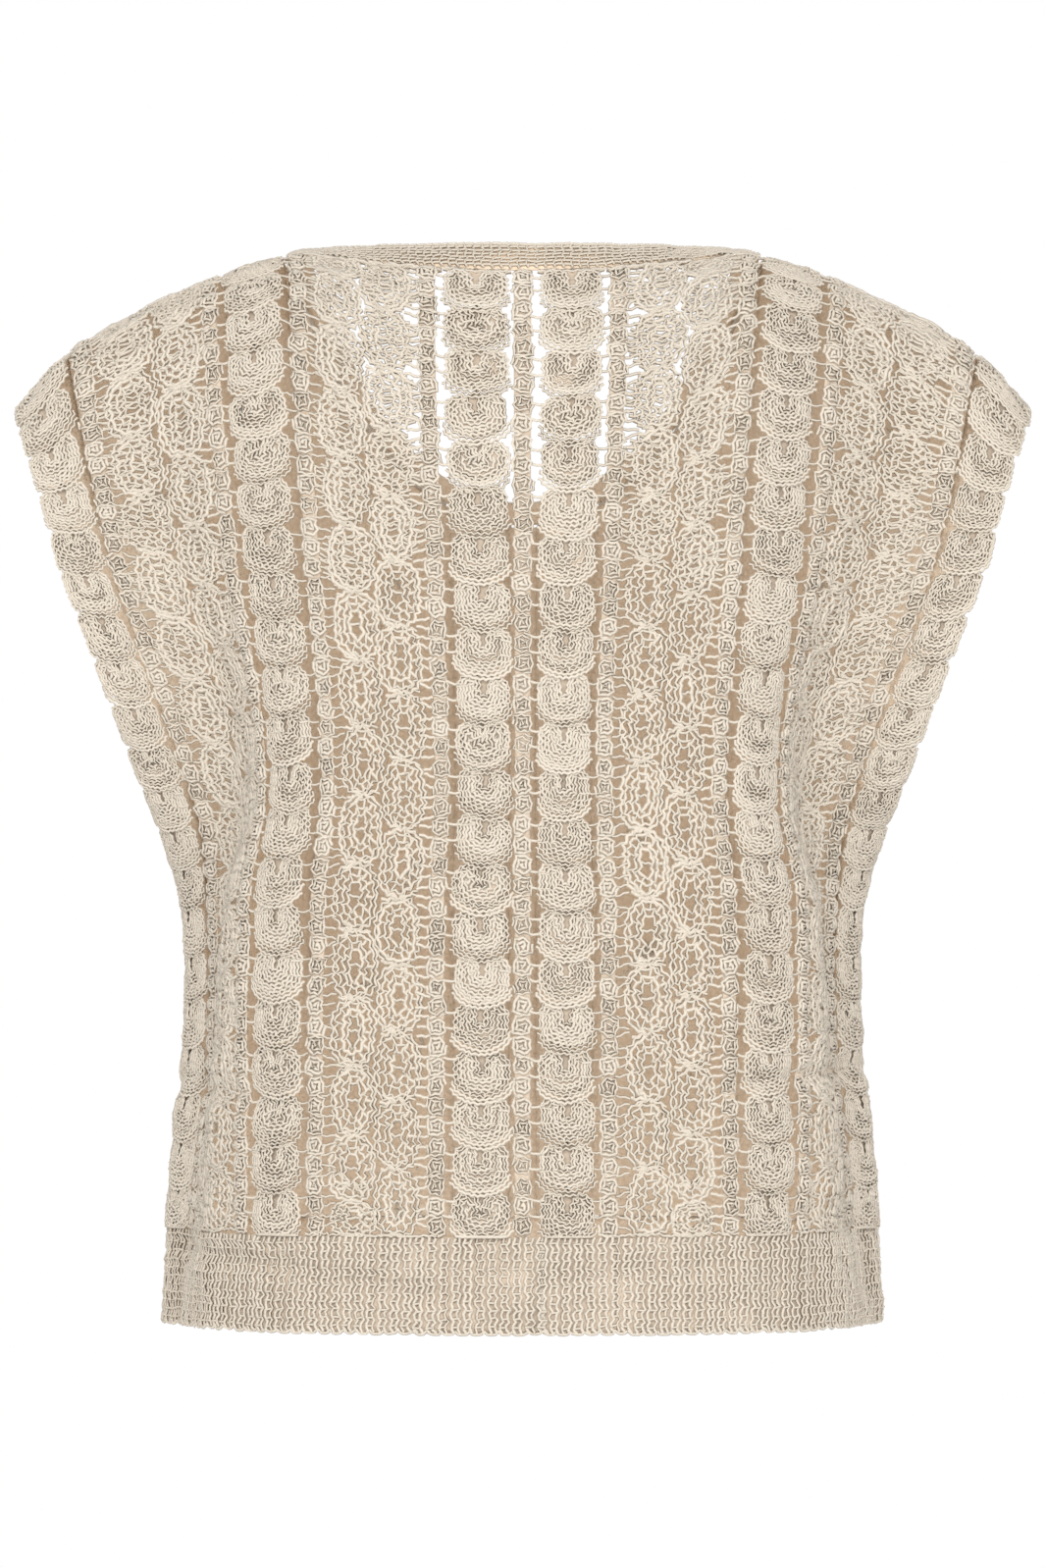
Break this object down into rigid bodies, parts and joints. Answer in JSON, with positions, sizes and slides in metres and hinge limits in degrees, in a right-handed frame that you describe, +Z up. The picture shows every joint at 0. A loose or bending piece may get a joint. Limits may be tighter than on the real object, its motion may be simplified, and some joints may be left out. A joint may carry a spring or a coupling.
{
  "type": "crochet vest",
  "caption": "Sleeveless crochet vest of upright shell and lace strips, in its filled-out worn shape, hollow, open at neck, hem and armholes.",
  "frame": {"origin": "middle of the neck opening, level with the highest point of the shoulders, where the wearer carries the vest", "axes": "+Z up, -Y out of the back of the garment, +Y out of the front, +X to the wearer's right"},
  "size_m": [0.4882, 0.2606, 0.5145],
  "materials": {
    "cotton_shell": "matt cream cotton yarn in raised shells",
    "cotton_lace": "matt cream cotton yarn in open lace",
    "cotton_cord": "matt cream cotton yarn in a corded column",
    "cotton_band": "matt cream cotton yarn in dense rows"
  },
  "bodies": {
    "root": {"back_middle_column": "cotton_cord", "back_left_shell_inner": "cotton_shell", "back_left_lace_inner": "cotton_lace", "back_left_shell_middle": "cotton_shell", "back_left_lace_outer": "cotton_lace", "back_left_shell_outer": "cotton_shell", "back_right_shell_inner": "cotton_shell", "back_right_lace_inner": "cotton_lace", "back_right_shell_middle": "cotton_shell", "back_right_lace_outer": "cotton_lace", "back_right_shell_outer": "cotton_shell", "back_neck_band": "cotton_band", "back_left_hem_band": "cotton_band", "back_right_hem_band": "cotton_band", "front_middle_column": "cotton_cord", "front_left_shell_inner": "cotton_shell", "front_left_lace_inner": "cotton_lace", "front_left_shell_middle": "cotton_shell", "front_left_lace_outer": "cotton_lace", "front_left_shell_outer": "cotton_shell", "front_right_shell_inner": "cotton_shell", "front_right_lace_inner": "cotton_lace", "front_right_shell_middle": "cotton_shell", "front_right_lace_outer": "cotton_lace", "front_right_shell_outer": "cotton_shell", "front_neck_band": "cotton_band", "front_hem_band": "cotton_band"}
  },
  "joints": []
}
